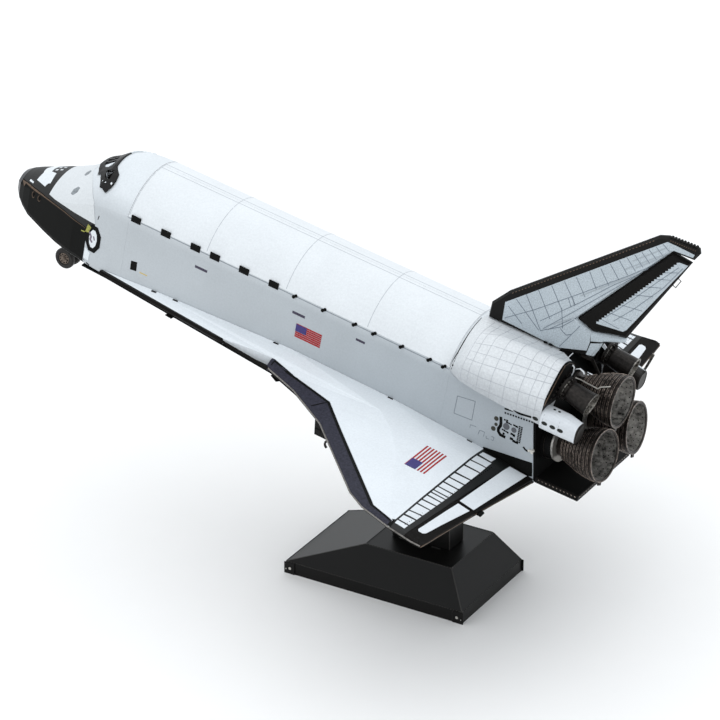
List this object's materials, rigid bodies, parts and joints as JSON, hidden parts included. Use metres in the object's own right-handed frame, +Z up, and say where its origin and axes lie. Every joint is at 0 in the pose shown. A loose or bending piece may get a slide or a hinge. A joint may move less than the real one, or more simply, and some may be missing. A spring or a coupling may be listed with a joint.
{
  "type": "desk model of a space shuttle orbiter on a stand",
  "caption": "Folded sheet-metal desk model of a winged space shuttle orbiter, nose up on a square post and a hipped base; its gear wheels turn on their axles.",
  "frame": {"origin": "middle of the stand's underside, on the surface it stands on", "axes": "+X aft along the stand, away from the nose; +Y to the orbiter's right; +Z up"},
  "size_m": [0.1494, 0.0952, 0.0847],
  "materials": {
    "white_sheet": "satin printed white on thin steel, fine grain",
    "black_sheet": "satin printed black on thin steel",
    "slate_sheet": "satin dark slate grey",
    "tail_sheet": "satin pale blue-grey with fine tile lines and black borders",
    "engine_metal": "dark tinted steel with bright cut edges",
    "collar_metal": "pale bare steel",
    "stand_sheet": "satin black",
    "wheel_metal": "dark tinted steel"
  },
  "bodies": {
    "model": {"stand_base": "stand_sheet", "stand_post": "stand_sheet", "nose_cap": "slate_sheet", "nose_upper": "white_sheet", "nose_lower": "black_sheet", "crew_cabin": "white_sheet", "windshield_frame": "black_sheet", "mid_fuselage": "white_sheet", "bay_door_left": "white_sheet", "bay_door_right": "white_sheet", "aft_fuselage": "white_sheet", "aft_bulkhead": "black_sheet", "belly_sheet": "black_sheet", "wing_left": "white_sheet", "wing_right": "white_sheet", "wing_underside_left": "black_sheet", "wing_underside_right": "black_sheet", "leading_edge_left": "slate_sheet", "leading_edge_right": "slate_sheet", "elevon_inboard_left": "white_sheet", "elevon_inboard_right": "white_sheet", "elevon_outboard_left": "white_sheet", "elevon_outboard_right": "white_sheet", "fin": "tail_sheet", "rudder": "tail_sheet", "oms_pod_left": "white_sheet", "oms_pod_right": "white_sheet", "pod_end_plate_left": "black_sheet", "pod_end_plate_right": "black_sheet", "thruster_housing_left": "white_sheet", "thruster_housing_right": "white_sheet", "oms_engine_left": "engine_metal", "oms_engine_right": "engine_metal", "main_engine_top": "engine_metal", "main_engine_left": "engine_metal", "main_engine_right": "engine_metal", "engine_collar_top": "collar_metal", "engine_collar_left": "collar_metal", "engine_collar_right": "collar_metal", "engine_drum_top": "black_sheet", "engine_drum_left": "black_sheet", "engine_drum_right": "black_sheet", "body_flap": "black_sheet", "nose_gear_leg": "black_sheet", "main_gear_leg_left": "black_sheet", "main_gear_leg_right": "black_sheet", "main_gear_door_left": "black_sheet", "main_gear_door_right": "black_sheet"},
    "nose_wheels": {"nose_wheels": "wheel_metal"},
    "main_wheels_left": {"main_wheels_left": "wheel_metal"},
    "main_wheels_right": {"main_wheels_right": "wheel_metal"}
  },
  "joints": [
    {"name": "nose_wheels_turn", "type": "hinge", "parent": "model", "child": "nose_wheels", "pos_m": [-0.078, 0, 0.05025], "axis": [0, 1, 0], "continuous": true},
    {"name": "main_wheels_left_turn", "type": "hinge", "parent": "model", "child": "main_wheels_left", "pos_m": [-0.00455, -0.014, 0.03306], "axis": [0, 1, 0], "continuous": true},
    {"name": "main_wheels_right_turn", "type": "hinge", "parent": "model", "child": "main_wheels_right", "pos_m": [-0.00455, 0.014, 0.03306], "axis": [0, 1, 0], "continuous": true}
  ]
}
